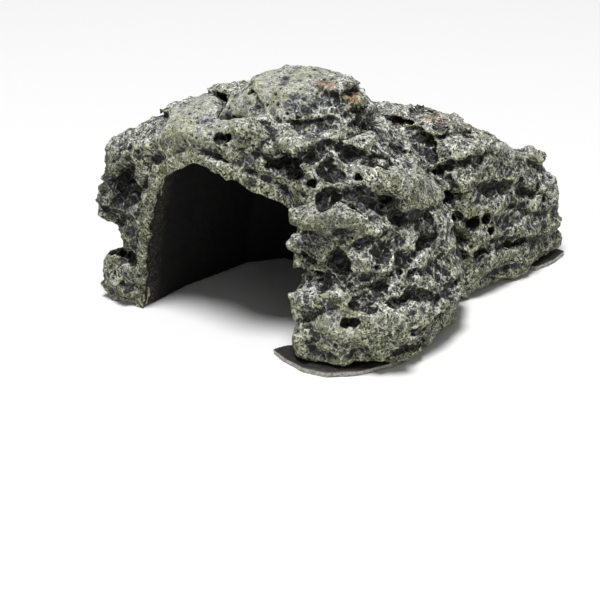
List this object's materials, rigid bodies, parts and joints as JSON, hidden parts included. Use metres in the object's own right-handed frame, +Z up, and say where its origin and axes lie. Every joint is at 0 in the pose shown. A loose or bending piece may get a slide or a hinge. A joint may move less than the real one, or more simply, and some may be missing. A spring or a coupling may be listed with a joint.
{
  "type": "resin cave ornament",
  "caption": "Rock-look resin cave for an aquarium or vivarium, with an arched mouth at the front and a lower layered ledge behind.",
  "frame": {"origin": "middle of the outline, on the underside that the ornament stands on", "axes": "+Z up, the cave's mouth faces -Y, the cave runs along Y, +X is the outer flank to the right of the mouth"},
  "size_m": [0.128, 0.138, 0.092],
  "materials": {
    "rock_resin": "matt, grey-green paint over purple-grey resin",
    "dark_skin": "smooth matt near-black",
    "mortar": "rough dark resin mortar",
    "plate_resin": "dark grey, satin"
  },
  "bodies": {
    "root": {"front_arch": "rock_resin", "crest_slab": "rock_resin", "rear_ledge": "rock_resin", "seam_mortar": "mortar", "cave_lining": "dark_skin", "right_foot_plate": "plate_resin", "left_foot_plate": "plate_resin", "rear_foot_plate": "plate_resin"}
  },
  "joints": []
}
